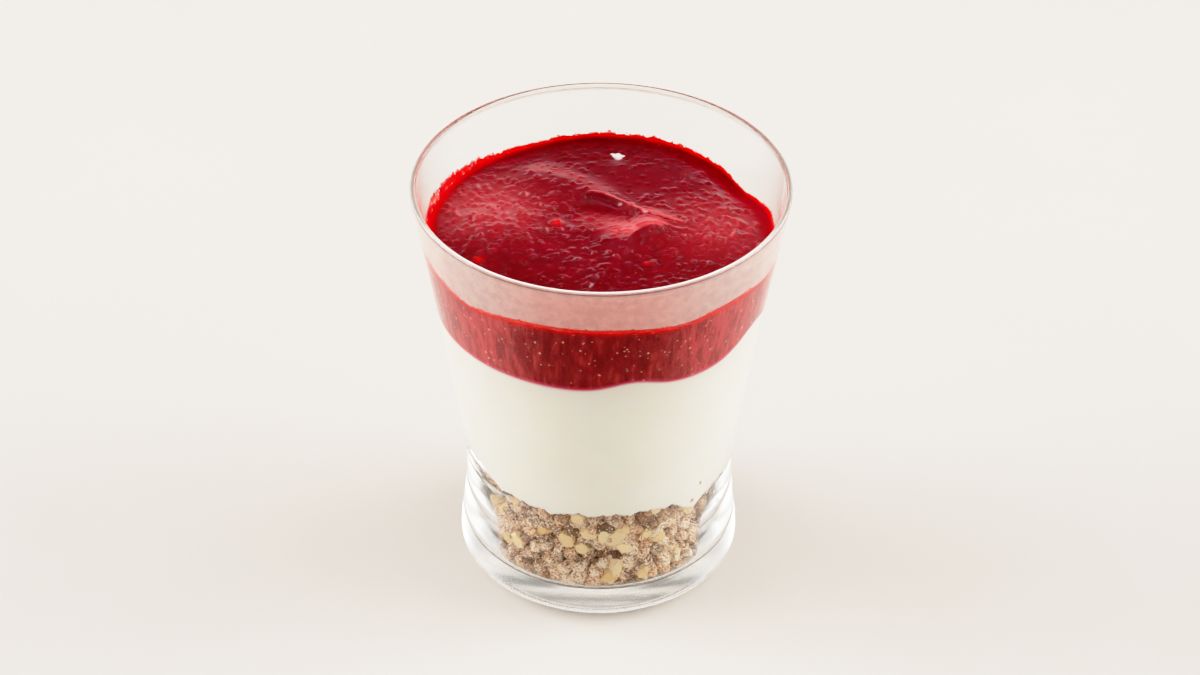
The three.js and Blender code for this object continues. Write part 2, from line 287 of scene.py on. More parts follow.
def pulp_noise(x, y, size, seed):
    """Smooth noise between about -1 and 1, with features of a size, the same on every run."""
    gradients = np.random.default_rng(seed).normal(size=(256, 2))
    gradients /= np.linalg.norm(gradients, axis=1)[:, None]
    shuffle = np.random.default_rng(seed + 1).permutation(256)
    u, v = x / size + 71.3, y / size + 37.7
    left, low = np.floor(u).astype(int), np.floor(v).astype(int)
    across, along = u - left, v - low

    def corner(step_u, step_v):
        pick = shuffle[(shuffle[(left + step_u) % 256] + low + step_v) % 256]
        pull = gradients[pick]
        return pull[..., 0] * (across - step_u) + pull[..., 1] * (along - step_v)

    ease_u = across**3 * (across * (across * 6 - 15) + 10)
    ease_v = along**3 * (along * (along * 6 - 15) + 10)
    bottom = corner(0, 0) * (1 - ease_u) + corner(1, 0) * ease_u
    top = corner(0, 1) * (1 - ease_u) + corner(1, 1) * ease_u
    return 1.5 * (bottom * (1 - ease_v) + top * ease_v)


def path_distance(x, y, path):
    """Distance to a path of straight stretches, positive on its left side, and how far along it, 0 to 1."""
    best = np.full(np.shape(x), 1e9)
    side = np.zeros(np.shape(x))
    reaches = []
    stretches = list(zip(path[:-1], path[1:]))
    for number, (start, end) in enumerate(stretches):
        run = np.array(end) - np.array(start)
        length = np.hypot(*run)
        along = np.clip(((x - start[0]) * run[0] + (y - start[1]) * run[1]) / length**2, 0, 1)
        off_x, off_y = x - start[0] - along * run[0], y - start[1] - along * run[1]
        distance = np.hypot(off_x, off_y)
        nearer = distance < best
        best = np.where(nearer, distance, best)
        side = np.where(nearer, np.sign(run[0] * off_y - run[1] * off_x), side)
        reaches.append((distance, (number + along) / len(stretches)))
    weights = [np.exp(-(distance - best) / 1.5) for distance, _ in reaches]
    share = sum(weight * along for weight, (_, along) in zip(weights, reaches)) / sum(weights)
    return best * np.where(side == 0, 1, side), share


def write_mesh(name, points, faces, material):
    """A mesh object from points in millimetres, at the origin."""
    mesh = bpy.data.meshes.new(name)
    mesh.from_pydata((np.asarray(points, float) * MM).tolist(), [], faces)
    mesh.polygons.foreach_set("use_smooth", [True] * len(mesh.polygons))
    if material:
        mesh.materials.append(material)
    mesh.update()
    piece = bpy.data.objects.new(name, mesh)
    bpy.context.scene.collection.objects.link(piece)
    return piece


def faces_between(lows, highs, segments):
    """Four-sided faces from the rings whose points start at lows to those whose points start at highs."""
    side = np.arange(segments)
    following = (side + 1) % segments
    low, high = lows[:, None], highs[:, None]
    return np.stack([low + side, low + following, high + following, high + side], -1).reshape(-1, 4).tolist()


def turned_mesh(name, rings, poles, material):
    """A closed body from rings of points, listed from its bottom pole up its outside to its top pole."""
    rings = np.asarray(rings, float)
    rows, segments = rings.shape[:2]
    starts = np.arange(rows) * segments
    faces = faces_between(starts[:-1], starts[1:], segments)
    side = np.arange(segments)
    following = (side + 1) % segments
    bottom, top, last = rows * segments, rows * segments + 1, starts[-1]
    faces += np.stack([np.full(segments, bottom), following, side], -1).tolist()
    faces += np.stack([np.full(segments, top), last + side, last + following], -1).tolist()
    return write_mesh(name, np.vstack([rings.reshape(-1, 3), poles]), faces, material)


def shell_mesh(name, rings, material):
    """A closed band from rings that come back to where they start."""
    rows, segments = rings.shape[:2]
    starts = np.arange(rows) * segments
    faces = faces_between(starts, np.roll(starts, -1), segments)
    return write_mesh(name, rings.reshape(-1, 3), faces, material)


def band_mesh(name, rings):
    """An open band of faces through rings, to strew things on."""
    rows, segments = rings.shape[:2]
    starts = np.arange(rows) * segments
    return write_mesh(name, rings.reshape(-1, 3), faces_between(starts[:-1], starts[1:], segments), None)


def mesh_points(piece):
    """The points of a piece's mesh, in millimetres."""
    points = np.empty(len(piece.data.vertices) * 3)
    piece.data.vertices.foreach_get("co", points)
    return points.reshape(-1, 3) / MM


def set_attribute(piece, name, values):
    """Keeps one number for each point of a piece's mesh, for its material to read."""
    attribute = piece.data.attributes.new(name, "FLOAT", "POINT")
    attribute.data.foreach_set("value", np.asarray(values, float).ravel())


def keep(piece, slot, *nodes):
    """Puts a finished piece in the frame: its body, and the solids it stands for, which it hides; the slot of
    its finish is not used.
    """
    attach(piece, BODY)
    if nodes:
        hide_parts(*nodes)


class Sheet:
    """A node tree being written, of a material, the world or a shape."""

    def __init__(self, tree):
        self.tree = tree
        tree.nodes.clear()

    def node(self, kind, settings=None, **sockets):
        """Adds a node, sets it, then fills its sockets, named in lower case, from values or links."""
        node = self.tree.nodes.new(kind)
        for name, value in (settings or {}).items():
            setattr(node, name, value)
        for name, value in sockets.items():
            self.fill(self.socket(node.inputs, name), value)
        return node

    @staticmethod
    def socket(sockets, name):
        if name.startswith("in") and name[2:].isdigit():
            return sockets[int(name[2:])]
        for socket in sockets:
            if socket.enabled and socket.name.lower().replace(" ", "_") == name:
                return socket
        raise KeyError(name)

    def fill(self, socket, value):
        if isinstance(value, Value):
            value = value.output
        if isinstance(value, bpy.types.NodeSocket):
            self.tree.links.new(value, socket)
        else:
            socket.default_value = value

    def value(self, node, name=0):
        return Value(self, node.outputs[name])

    def mix(self, share, first, second):
        """A colour between two others."""
        node = self.node("ShaderNodeMix", {"data_type": "RGBA"}, in0=share, in6=first, in7=second)
        return Value(self, node.outputs[2])


class Value:
    """A number in a node tree. Python's operators on it add Math nodes."""

    def __init__(self, sheet, output):
        self.sheet = sheet
        self.output = output

    def maths(self, operation, *others, clamp=False):
        settings = {"operation": operation, "use_clamp": clamp}
        sockets = {f"in{place}": other for place, other in enumerate(others)}
        return Value(self.sheet, self.sheet.node("ShaderNodeMath", settings, **sockets).outputs[0])

    def __add__(self, other):
        return self.maths("ADD", self, other)

    def __radd__(self, other):
        return self.maths("ADD", other, self)

    def __sub__(self, other):
        return self.maths("SUBTRACT", self, other)

    def __rsub__(self, other):
        return self.maths("SUBTRACT", other, self)

    def __mul__(self, other):
        return self.maths("MULTIPLY", self, other)

    def __rmul__(self, other):
        return self.maths("MULTIPLY", other, self)

    def held(self):
        """The number kept between 0 and 1."""
        return self.maths("ADD", self, 0.0, clamp=True)

    def between(self, low, high):
        """How far the number is from low to high, kept between 0 and 1 and eased at both ends."""
        settings = {"interpolation_type": "SMOOTHSTEP"}
        node = self.sheet.node("ShaderNodeMapRange", settings, in0=self, in1=low, in2=high, in3=0.0, in4=1.0)
        return Value(self.sheet, node.outputs[0])


class Finish(Sheet):
    """A material being written."""

    def __init__(self, name):
        self.material = bpy.data.materials.new(name)
        self.material.use_nodes = True
        super().__init__(self.material.node_tree)
        self.place = self.node("ShaderNodeTexCoord").outputs["Object"]

    def attribute(self, name):
        return self.value(self.node("ShaderNodeAttribute", {"attribute_name": name}), "Fac")

    def stretched(self, scale):
        """The place on the piece with each axis scaled, for patterns that run one way."""
        return self.node("ShaderNodeMapping", None, vector=self.place, scale=scale).outputs[0]

    def noise(self, scale, detail=3.0, roughness=0.5, vector=None):
        sockets = {"vector": vector or self.place, "scale": scale, "detail": detail, "roughness": roughness}
        return self.value(self.node("ShaderNodeTexNoise", None, **sockets), "Fac")

    def cells(self, scale):
        return self.value(self.node("ShaderNodeTexVoronoi", None, vector=self.place, scale=scale), "Distance")

    def bump(self, height, distance):
        return self.node("ShaderNodeBump", None, height=height, distance=distance, strength=1.0).outputs[0]

    def principled(self, **sockets):
        return self.node("ShaderNodeBsdfPrincipled", None, **sockets).outputs[0]

    def blend(self, share, first, second):
        """One surface passing into another."""
        return self.node("ShaderNodeMixShader", None, in0=share, in1=first, in2=second).outputs[0]

    def output(self, surface):
        self.node("ShaderNodeOutputMaterial", None, surface=surface)
        return self.material


def colour(red, green, blue):
    """A colour given as on a screen, 0 to 255, as the linear numbers that shaders take."""
    shares = np.array([red, green, blue]) / 255
    linear = np.where(shares <= 0.04045, shares / 12.92, ((shares + 0.055) / 1.055) ** 2.4)
    return (*linear.tolist(), 1.0)


# Shades that no setting holds

# The three lip shades below are painted light: a painted highlight along the lip's top, painted grey light
# seen along the glass at its sides, and a painted dark-red reflection of the coulis beside them
LIP_LIT = colour(255, 250, 244)
LIP_PAINTED_SIDE_LIGHT = colour(126, 132, 122)
LIP_PAINTED_COULIS_REFLECTION = colour(74, 14, 18)
CRUMB_TOASTED = colour(150, 102, 74)
CRUMB_RUSTY = colour(232, 160, 112)
CRUMB_FLOURY = colour(255, 244, 228)
# Painted shade for the gaps deep behind the glass
CRUMB_PAINTED_SHADE = colour(84, 60, 46)
NUT_PALE = colour(255, 224, 176)
NUT_TAN = colour(226, 180, 118)
NUT_SKIN = colour(196, 146, 88)
NUT_PAINTED_SHADE = colour(172, 122, 74)
BLOOM_PINK = colour(255, 197, 188)
BLOOM_GREY = colour(231, 209, 202)
# A painted glint on the juice's droplets
JUICE_GLINT = colour(255, 206, 192)
FLOOR_CLOUD = colour(206, 198, 190)


# Finishes

def glass_finish():
    """Clear soda glass, faintly wavy as a pressed tumbler is, which mirrors little where it is faced, with
    painted light and a painted reflection of the coulis mixed in along its lip.
    """
    finish = Finish("clear glass")
    painted_lip_colour = finish.mix(finish.attribute("lip_side"), LIP_LIT, LIP_PAINTED_SIDE_LIGHT)
    painted_lip_colour = finish.mix(finish.attribute("lip_dark"), painted_lip_colour, LIP_PAINTED_COULIS_REFLECTION)
    clear = {
        "base_color": (0.985, 0.995, 0.99, 1.0),
        "roughness": finish.attribute("foot") * 0.12,
        "ior": 1.5,
        "transmission_weight": 1.0,
        "normal": finish.bump(finish.noise(70.0, detail=1.0), 0.02 * MM),
    }
    faced = finish.principled(specular_tint=(0.17, 0.17, 0.17, 1.0), **clear)
    slanting = finish.principled(**clear)
    facing = finish.value(finish.node("ShaderNodeLayerWeight", None, blend=0.5), "Facing")
    body = finish.blend(facing.between(0.3, 0.5), faced, slanting)
    # A rough pale surface mixed into the glass along the lip. It paints the lip's highlight, the grey light
    # at its sides and the dark-red reflection of the coulis
    painted_lip_light = finish.principled(base_color=painted_lip_colour, roughness=0.3, specular_ior_level=0.5)
    return finish.output(finish.blend(finish.attribute("lip"), body, painted_lip_light))


def coulis_finish(settings):
    """Sieved berry coulis: dark and glossy on top, flat against the glass, and bright red where it is thin,
    that red partly painted light shining through it. Painted light lightens its top on slopes that fall
    backwards and at the left and right, and its side on the glass away from the front.
    """
    finish = Finish("berry coulis")
    on_top = finish.attribute("on_top")
    pale = finish.attribute("pale")
    bumpy = finish.attribute("bumpy")
    mottle = finish.noise(300.0, detail=4.0, roughness=0.6)
    deep = finish.mix(mottle.between(0.4, 0.75), settings.deep_colour, settings.pulp_colour)
    # Painted light: where the pale attribute says, the top and the side on the glass pass into a lighter red
    deep = finish.mix(pale, deep, settings.pale_streak_and_lit_colour)
    streaks = finish.noise(620.0, detail=4.0, roughness=0.65, vector=finish.stretched((1.0, 1.0, 0.13)))
    side = finish.mix(pale, settings.side_colour, settings.pale_streak_and_lit_colour)
    side = finish.mix(streaks.between(0.42, 0.62) * 0.65, side, settings.deep_colour)
    side = finish.mix(streaks.between(0.46, 0.32) * 0.5, side, settings.pale_streak_and_lit_colour)
    body = finish.mix(on_top, side, deep)
    scarce = finish.noise(420.0, detail=1.0).between(0.55, 0.62)
    specks = (1 - finish.cells(900.0).between(0.12, 0.3)) * scarce * (0.8 - on_top * 0.65)
    seeds = (1 - finish.cells(480.0).between(0.1, 0.17)) * finish.noise(170.0, detail=1.0).between(0.46, 0.56)
    body = finish.mix((specks + seeds * (1 - on_top)).held(), body, settings.seed_colour)
    # The thin edge and the red lumps: clear red pulp, its brightness partly painted light shining through it
    body = finish.mix(finish.attribute("thin_edge"), body, settings.thin_colour)
    body = finish.mix(finish.attribute("low_edge"), body, settings.stain_colour)
    pimples = finish.noise(620.0, detail=2.0).between(0.54, 0.72)
    flesh = {"base_color": body, "subsurface_weight": 1.0, "subsurface_radius": (1.0, 0.08, 0.08)}
    against_glass = finish.principled(
        roughness=0.5,
        specular_ior_level=0.0,
        subsurface_scale=settings.glow * 0.3,
        **flesh,
    )
    wet = finish.principled(
        roughness=(bumpy * 0.05 + 0.287).held(),
        ior=1.42,
        normal=finish.bump(pimples * bumpy, settings.pimples),
        subsurface_scale=settings.glow,
        **flesh,
    )
    return finish.output(finish.blend(finish.attribute("gloss"), against_glass, wet))


def cream_finish(settings):
    """Smooth blended cream, stained pink in a fine line where the coulis lies on it."""
    finish = Finish("set cream")
    stain = finish.attribute("stain")
    cloud = finish.noise(90.0, detail=3.0).between(0.3, 0.7)
    body = finish.mix(cloud, settings.cream_colour, settings.shade_colour)
    body = finish.mix(stain, body, settings.stain_colour)
    surface = finish.principled(
        base_color=body,
        roughness=0.6,
        specular_ior_level=0.0,
        subsurface_weight=0.6,
        subsurface_radius=(1.0, 0.7, 0.45),
        subsurface_scale=1.5 * MM,
    )
    return finish.output(surface)


def crumb_finish(name, light, brown, settings):
    """Sandy crumbs: fine pale, brown and rusty grains, each crumb with its own tone, and painted shade where
    they lie deep behind the glass.
    """
    finish = Finish(name)
    tone = finish.attribute("tone")
    grain = finish.noise(1900.0, detail=3.0, roughness=0.75)
    patch = finish.noise(450.0, detail=2.0)
    lumps = finish.noise(230.0, detail=2.0)
    body = finish.mix(tone.between(0.1, 0.8), light, brown)
    body = finish.mix(lumps.between(0.5, 0.6) * 0.75, body, CRUMB_TOASTED)
    body = finish.mix(patch.between(0.52, 0.68) * 0.55, body, CRUMB_RUSTY)
    body = finish.mix(grain.between(0.48, 0.4) * 0.9, body, CRUMB_FLOURY)
    body = finish.mix(grain.between(0.54, 0.6) * 0.75, body, settings.dark_crumb_and_shade_colour)
    body = finish.mix(tone.between(0.9, 0.94) * 0.85, body, settings.dark_crumb_and_shade_colour)
    # Painted shade: darker the deeper a point lies behind the glass
    body = finish.mix(finish.attribute("depth").between(1.0, 2.2) * 0.8, body, CRUMB_PAINTED_SHADE)
    body = finish.mix(finish.attribute("wet") * 0.8, body, settings.wet_colour)
    surface = finish.principled(
        base_color=body,
        roughness=0.75,
        specular_ior_level=0.3,
        normal=finish.bump(grain + patch, 0.5 * MM),
    )
    return finish.output(surface)


def nut_finish():
    """Blanched chopped nuts: pale yellow and a little waxy, with browner skins here and there, and painted
    shade where they lie deeper behind the glass.
    """
    finish = Finish("chopped nut")
    grain = finish.noise(700.0, detail=3.0)
    body = finish.mix(finish.attribute("tone"), NUT_PALE, NUT_TAN)
    body = finish.mix(grain.between(0.6, 0.78) * 0.45, body, NUT_SKIN)
    # Painted shade: darker the deeper a point lies behind the glass
    body = finish.mix(finish.attribute("depth").between(0.5, 2.2) * 0.6, body, NUT_PAINTED_SHADE)
    surface = finish.principled(
        base_color=body,
        roughness=0.45,
        subsurface_weight=0.3,
        subsurface_radius=(1.0, 0.6, 0.3),
        subsurface_scale=1.0 * MM,
        normal=finish.bump(grain, 0.15 * MM),
    )
    return finish.output(surface)


def haze_finish():
    """A faint white bloom left on the glass above the coulis, thickest where the filling ran down it."""
    finish = Finish("bloom on glass")
    amount = finish.attribute("haze")
    patch = finish.noise(420.0, detail=4.0, roughness=0.65).between(0.35, 0.65)
    surface = finish.principled(
        base_color=finish.mix(finish.attribute("white"), BLOOM_PINK, BLOOM_GREY),
        roughness=0.9,
        specular_ior_level=0.0,
        alpha=(amount * (0.88 + patch * 0.24)).held(),
    )
    return finish.output(surface)


def juice_finish(settings):
    """Thin coulis left on the glass: clear bright red, partly painted light shining through it, that breaks
    up into droplets at its upper edge, with painted glints on them.
    """
    finish = Finish("juice on glass")
    thin = finish.attribute("thin")
    wide = finish.attribute("wide")
    specks = finish.noise(1500.0, detail=3.0, roughness=0.7)
    film = (specks - (thin * 0.75 - 0.1)).between(0.0, 0.12)
    scarce = finish.noise(300.0, detail=1.0).between(0.45, 0.6)
    droplets = (1 - finish.cells(1500.0).between(0.14, 0.28)) * scarce
    blots = finish.noise(560.0, detail=3.0, roughness=0.7)
    # Painted glints: small highlights on the droplets, painted into the colour
    glints = 1 - finish.cells(900.0).between(0.16, 0.3)
    # The film's bright red is partly painted light shining through the thin juice
    body = finish.mix(thin.between(0.0, 0.4), settings.pulp_colour, settings.thin_colour)
    body = finish.mix(thin.between(0.6, 1.0), body, settings.droplet_colour)
    body = finish.mix(blots.between(0.53, 0.57) * wide, body, settings.deep_colour)
    body = finish.mix(blots.between(0.44, 0.4) * (wide * 0.7 + 0.3), body, settings.droplet_colour)
    body = finish.mix(glints * wide * 0.9, body, JUICE_GLINT)
    surface = finish.principled(
        base_color=body,
        roughness=0.3,
        ior=1.36,
        subsurface_weight=1.0,
        subsurface_radius=(1.0, 0.05, 0.05),
        subsurface_scale=1.0 * MM,
        alpha=film.maths("MAXIMUM", film, droplets * 0.8) * (1 - thin.between(0.55, 1.0) * 0.35),
    )
    return finish.output(surface)


# Pieces

def ring_of(radius, height, segments):
    """A ring of points from the front round towards +X, of one radius and height or of one for each point."""
    turn = np.radians(np.arange(segments) * 360 / segments)
    return np.stack([radius * np.sin(turn), -radius * np.cos(turn), height + np.zeros(segments)], -1)


def segment_angles(segments):
    """The angles of a ring's points, from -180 to 180."""
    return (np.arange(segments) * 360 / segments + 180) % 360 - 180


def face_rings(distances, reach, level):
    """Rings of a layer's face, at distances in from the edge, where reach gives the edge's radius."""
    rings = []
    for distance in distances:
        ring = ring_of(reach - distance * reach / reach.mean(), 0.0, len(reach))
        ring[:, 2] = level(ring[:, 0], ring[:, 1])
        rings.append(ring)
    return rings


def wall_rings(low, high, rows, inset=-CONTACT):
    """Rings up the glass between two uneven lines, inset from its wall, or reaching a hair into it."""
    heights = [low + (high - low) * share for share in np.linspace(0, 1, rows)]
    return [ring_of(hollow_radius(height) - inset, height, len(low)) for height in heights]


def skin_rings(low, high, rows, depth):
    """Rings of a thin skin on the glass's wall: up against it, and down again a depth in from there."""
    return np.array(wall_rings(low, high, rows) + wall_rings(low, high, rows, depth - CONTACT)[::-1])


def glass_outline(settings):
    """The tumbler's outline from under its foot, up the outside, over the lip and down the hollow."""
    rise, inner, outer = settings.punt_rise / MM, settings.foot_inner / MM, settings.foot_outer / MM
    points = [(radius, rise * (1 - (radius / inner) ** 2)) for radius in (6, 12, 17, 21, 23)]
    points += [(inner, 0.0), (outer, 0.0), (28.45, 0.08), (28.75, 0.28), (29.2, 0.8)]
    foot_radius, foot_height = FOOT_ROUND
    for turn in np.radians(np.linspace(-68, 10, 16)):
        across, up = FOOT_ROUND_RADIUS * math.cos(turn), FOOT_ROUND_RADIUS * math.sin(turn)
        points.append((foot_radius + across, foot_height + up))
    points += list(zip(OUTER_RADII, OUTER_HEIGHTS))[6::2]
    lip = settings.lip_thickness / MM / 2
    lip_radius, lip_height = OUTER_RADII[-1] - lip, OUTER_HEIGHTS[-1]
    for turn in np.linspace(0, math.pi, 26)[1:-1]:
        top = lip_height + (GLASS_HEIGHT - lip_height) * math.sin(turn)
        points.append((lip_radius + lip * math.cos(turn), top))
    points += list(zip(HOLLOW_RADII, HOLLOW_HEIGHTS))[::-2]
    corner_height, corner_radius = HOLLOW_WALL[0]
    for turn in np.radians(np.linspace(90, 0, 9)[1:]):
        radius = corner_radius - CAVITY_CORNER * (1 - math.sin(turn))
        points.append((radius, corner_height - (corner_height - CAVITY_FLOOR) * math.cos(turn)))
    points += [(radius, CAVITY_FLOOR) for radius in (18, 12, 6)]
    return points


def make_tumbler(settings):
    """The glass, with the painted highlight and painted reflection of the coulis on its lip, and the dull
    ring that it stands on.
    """
    rings = [ring_of(radius, height, GLASS_SEGMENTS) for radius, height in glass_outline(settings)]
    poles = [(0, 0, settings.punt_rise / MM), (0, 0, CAVITY_FLOOR)]
    piece = turned_mesh("tumbler", rings, poles, glass_finish())
    x, y, height = mesh_points(piece).T
    forward = np.abs(angle_of(x, y))
    lip_radius, lip_height = LIP_ROUND
    lean = np.degrees(np.arctan2(np.hypot(x, y) - lip_radius, height - lip_height))
    # Where light is painted on the lip: a painted highlight over its top, a painted dark-red reflection of
    # the coulis under it at the front and inside it at the sides, and painted grey light seen along the glass
    # at the sides
    side = smoothstep(forward, 45, 75)
    top = bell(lean - 4 - 10 * side, 21 + 14 * side) * (0.9 - 0.65 * smoothstep(forward, 100, 140))
    under = 0.75 * bell(lean - 72, 18) * (1 - smoothstep(forward, 60, 90))
    inside = 0.8 * bell(lean + 62, 12) * side * (1 - 0.7 * smoothstep(forward, 120, 160))
    set_attribute(piece, "lip", (height > lip_height - 0.1) * np.clip(top + under + inside, 0, 0.9))
    set_attribute(piece, "lip_dark", (under + inside) / (top + under + inside + 1e-6))
    set_attribute(piece, "lip_side", side)
    set_attribute(piece, "foot", 1 - smoothstep(height, 0.6, 1.6))
    return piece


def painted_light_share(x, y):
    """Painted light on the pulp, 0 to 1: left and right of the folds and on slopes that fall backwards, where
    more light falls.
    """
    step = 0.8
    fall = (fold_relief(x, y) - fold_relief(x, y + step)) / step
    left, right = bell(np.hypot(x + 25, y - 8), 12), bell(np.hypot(x - 26, y - 2), 12)
    return np.clip(0.5 * left + 0.4 * right + 0.95 * smoothstep(fall, 0.05, 0.28), 0, 1)


def bumpiness(x, y):
    """How rough the pulp is, from 0 where a spoon smoothed it to about 1."""
    rough = 0.65 + 0.5 * bell(np.hypot(x + 22, y - 6), 14) + 0.35 * bell(np.hypot(x - 24, y - 4), 13)
    rough = rough * (1 - 0.85 * bell(np.hypot((x - 6) / 1.3, y - 20), 8))
    return rough * (1 - 0.6 * bell(np.hypot(x - 12, y - 3.5), 4))


def crest_profile(distance, spread):
    """A fold's height beside its crest: sharp on top and easing out."""
    return np.exp(-((np.abs(distance) / spread) ** 1.25))


def far_fold(x, y):
    """The far fold: a broad back on its left, then a steep front into a hollow, easing out to its right."""
    wide, reach, depth = FAR_FOLD["wide"], FAR_FOLD["reach"], FAR_FOLD["depth"]
    away, along = path_distance(x, y, FAR_CREST)
    broad = 0.75 * (1 - smoothstep(along, 0.3, 0.62))
    back = (0.12 + broad) * bell(away, 5.2 - 2.4 * smoothstep(along, 0.25, 0.55))
    fading = 1 - smoothstep(x, 6.5, 9.5)
    drop = smoothstep(-away, 0.0, wide)
    ends = smoothstep(along, 0.2, 0.36)
    hollow = depth * ends * fading * drop * (1 - smoothstep(-away, wide, reach))
    front = (0.12 + broad) * (1 - drop * fading * ends) * bell(away, 5.2)
    lip = 0.3 * smoothstep(along, 0.25, 0.4) * (1 - smoothstep(along, 0.9, 1.0)) * bell(away - 0.2, 0.55)
    return np.where(away > 0, back, front - hollow) + lip


def near_fold(x, y):
    """The near fold: steep towards the front and gentle behind, highest at its right end."""
    away, share = path_distance(x, y, NEAR_CREST)
    height = (0.3 + 1.7 * smoothstep(share, 0.0, 0.3)) * (1 - 0.55 * smoothstep(share, 0.45, 1.0))
    return height * np.where(away > 0, crest_profile(away, 3.6), crest_profile(away, 5.5 + 3.0 * share))


def fold_relief(x, y):
    return far_fold(x, y) + near_fold(x, y)


def coulis_relief(x, y):
    """The spooned surface: folds, creases, mounds and the unevenness of the pulp."""
    relief = fold_relief(x, y)
    for crease in CREASES:
        away, reach = path_distance(x, y, crease)
        ends = smoothstep(reach, 0.0, 0.15) * (1 - smoothstep(reach, 0.85, 1.0))
        relief += ends * (0.22 * bell(np.abs(away) - 0.75, 0.4) - 0.6 * bell(away, 0.38))
    for middle_x, middle_y, spread, rise in MOUNDS:
        relief = relief + rise * bell(np.hypot(x - middle_x, y - middle_y), spread)
    relief += 0.1 * pulp_noise(x, y, 6.5, 5)
    return relief + 0.09 * bumpiness(x, y) * pulp_noise(x, y, 2.4, 17)


def pulp_lumps(x, y, relief):
    """Small lumps of pulp and open bubbles, scattered most where the surface is rough."""
    draw = np.random.default_rng(12)
    for number in range(LUMP_DRAWS):
        turn, reach = draw.uniform(0, 2 * math.pi), LUMP_REACH * math.sqrt(draw.uniform())
        middle_x, middle_y = reach * math.cos(turn), reach * math.sin(turn)
        rough = bumpiness(middle_x, middle_y)
        wide, high = draw.uniform(0.38, 0.8), draw.uniform(0.14, 0.34) * (0.3 + 1.15 * rough)
        if draw.uniform() > rough + 0.08:
            continue
        away = np.hypot(x - middle_x, (y - middle_y) * 1.15)
        near = away < 2.5
        rise = -0.8 * high if number % 5 == 0 else high
        relief[near] += rise * bell(away[near], wide)
        if rise < 0:
            relief[near] += 0.3 * high * bell(away[near] - 1.3 * wide, 0.4 * wide)
    return relief


def pulp_edge(angle):
    """Height at which the pulp itself ends on the glass, under the film of juice that reaches its line."""
    line = edge_level(COULIS_EDGE, COULIS_WAVES, angle)
    return line - np.clip(FILM + 0.25 * (line - COULIS_EDGE), 0.2, None)


def coulis_top(x, y):
    """Height of the coulis's surface, with the thin edge that climbs the glass."""
    edge = pulp_edge(angle_of(x, y))
    climb = np.clip(CLIMB + 0.2 * (edge - COULIS_EDGE + FILM), 0.15, None)
    radius = np.hypot(x, y)
    reach = hollow_radius(edge)
    band = COULIS_BAND - 9 * bell(turn_from(angle_of(x, y), DIP_ANGLE), 32)
    inland = smoothstep(radius, reach - band, reach)
    level = COULIS_MIDDLE + (edge - climb - COULIS_MIDDLE) * inland
    gap = np.clip(reach + CONTACT - radius, 0, None)
    relief = pulp_lumps(x, y, np.atleast_1d(coulis_relief(x, y)))
    return level + relief * smoothstep(gap, 0.0, 2.2) + climb * np.exp(-gap / 0.6)


def ragged(angle, seed):
    """Small unevenness of a line round the glass, in millimetres."""
    turn = np.radians(angle)
    draw = np.random.default_rng(seed)
    line = np.zeros(np.shape(angle))
    for waves in (23, 41, 67, 97, 131):
        swing = draw.uniform(0.5, 1) * np.sin(waves * turn + draw.uniform(0, 6.28))
        line = line + swing / (waves / 23) ** 0.6
    return line


def make_coulis(settings):
    """The pulp: hidden underside, side on the glass and spooned top, with what its finish reads."""
    angles = segment_angles(LAYER_SEGMENTS)
    low = edge_level(CREAM_EDGE, CREAM_WAVES, angles) + LAYER_GAP
    high = pulp_edge(angles) + 0.12 * ragged(angles, 4)
    rings = face_rings(HIDDEN_RINGS * CREAM_REACH, hollow_radius(low) + CONTACT, coulis_floor)
    side = slice(len(rings), len(rings) + COULIS_RINGS)
    top = slice(side.stop, None)
    rings += wall_rings(low, high, COULIS_RINGS)
    rings += face_rings(COULIS_STEPS, hollow_radius(high) + CONTACT, coulis_top)
    poles = [(0, 0, float(coulis_floor(0.0, 0.0))), (0, 0, float(rings[-1][:, 2].mean()))]
    piece = turned_mesh("coulis_pulp", rings, poles, coulis_finish(settings))
    x, y, height = np.moveaxis(np.array(rings), -1, 0)
    inward = COULIS_STEPS[:, None]
    on_top, thin, low_edge, gloss = np.zeros((4, *height.shape))
    on_top[top] = 1
    # The thin edge's bright red is partly painted light shining through thin pulp: on the glass, on the top
    # near it, and in the red lumps
    thin[side] = 0.9 * (1 - smoothstep(high - height[side], 0.2, 1.1))
    shallow = 0.55 + 1.5 * bell(turn_from(angles, FILM_ANGLE), 40)
    thin[top] = 0.6 * (1 - smoothstep(inward / shallow, 0.0, 1.2))
    for lump_x, lump_y, spread in RED_LUMPS:
        thin += on_top * 0.8 * bell(np.hypot(x - lump_x, y - lump_y), spread)
    low_edge[side] = 1 - smoothstep(height[side] - low, 0.1, 0.6)
    # Painted light: the pale attribute lightens the top where more light falls, and the side on the glass
    # away from the front
    pale = on_top * painted_light_share(x, y)
    pale[side] = 0.75 * smoothstep(np.abs(angles), 12, 42)
    dull = 1 + 2.4 * bell(turn_from(angles, DIP_ANGLE), 26)
    gloss[top] = smoothstep(inward / dull, 0.8, 2.6)
    looks = {"on_top": on_top, "thin_edge": thin, "low_edge": low_edge, "pale": pale, "gloss": gloss}
    looks["bumpy"] = on_top * bumpiness(x, y)
    for name, values in looks.items():
        set_attribute(piece, name, np.concatenate([values.ravel(), [0, values[-1, 0]]]))
    return piece


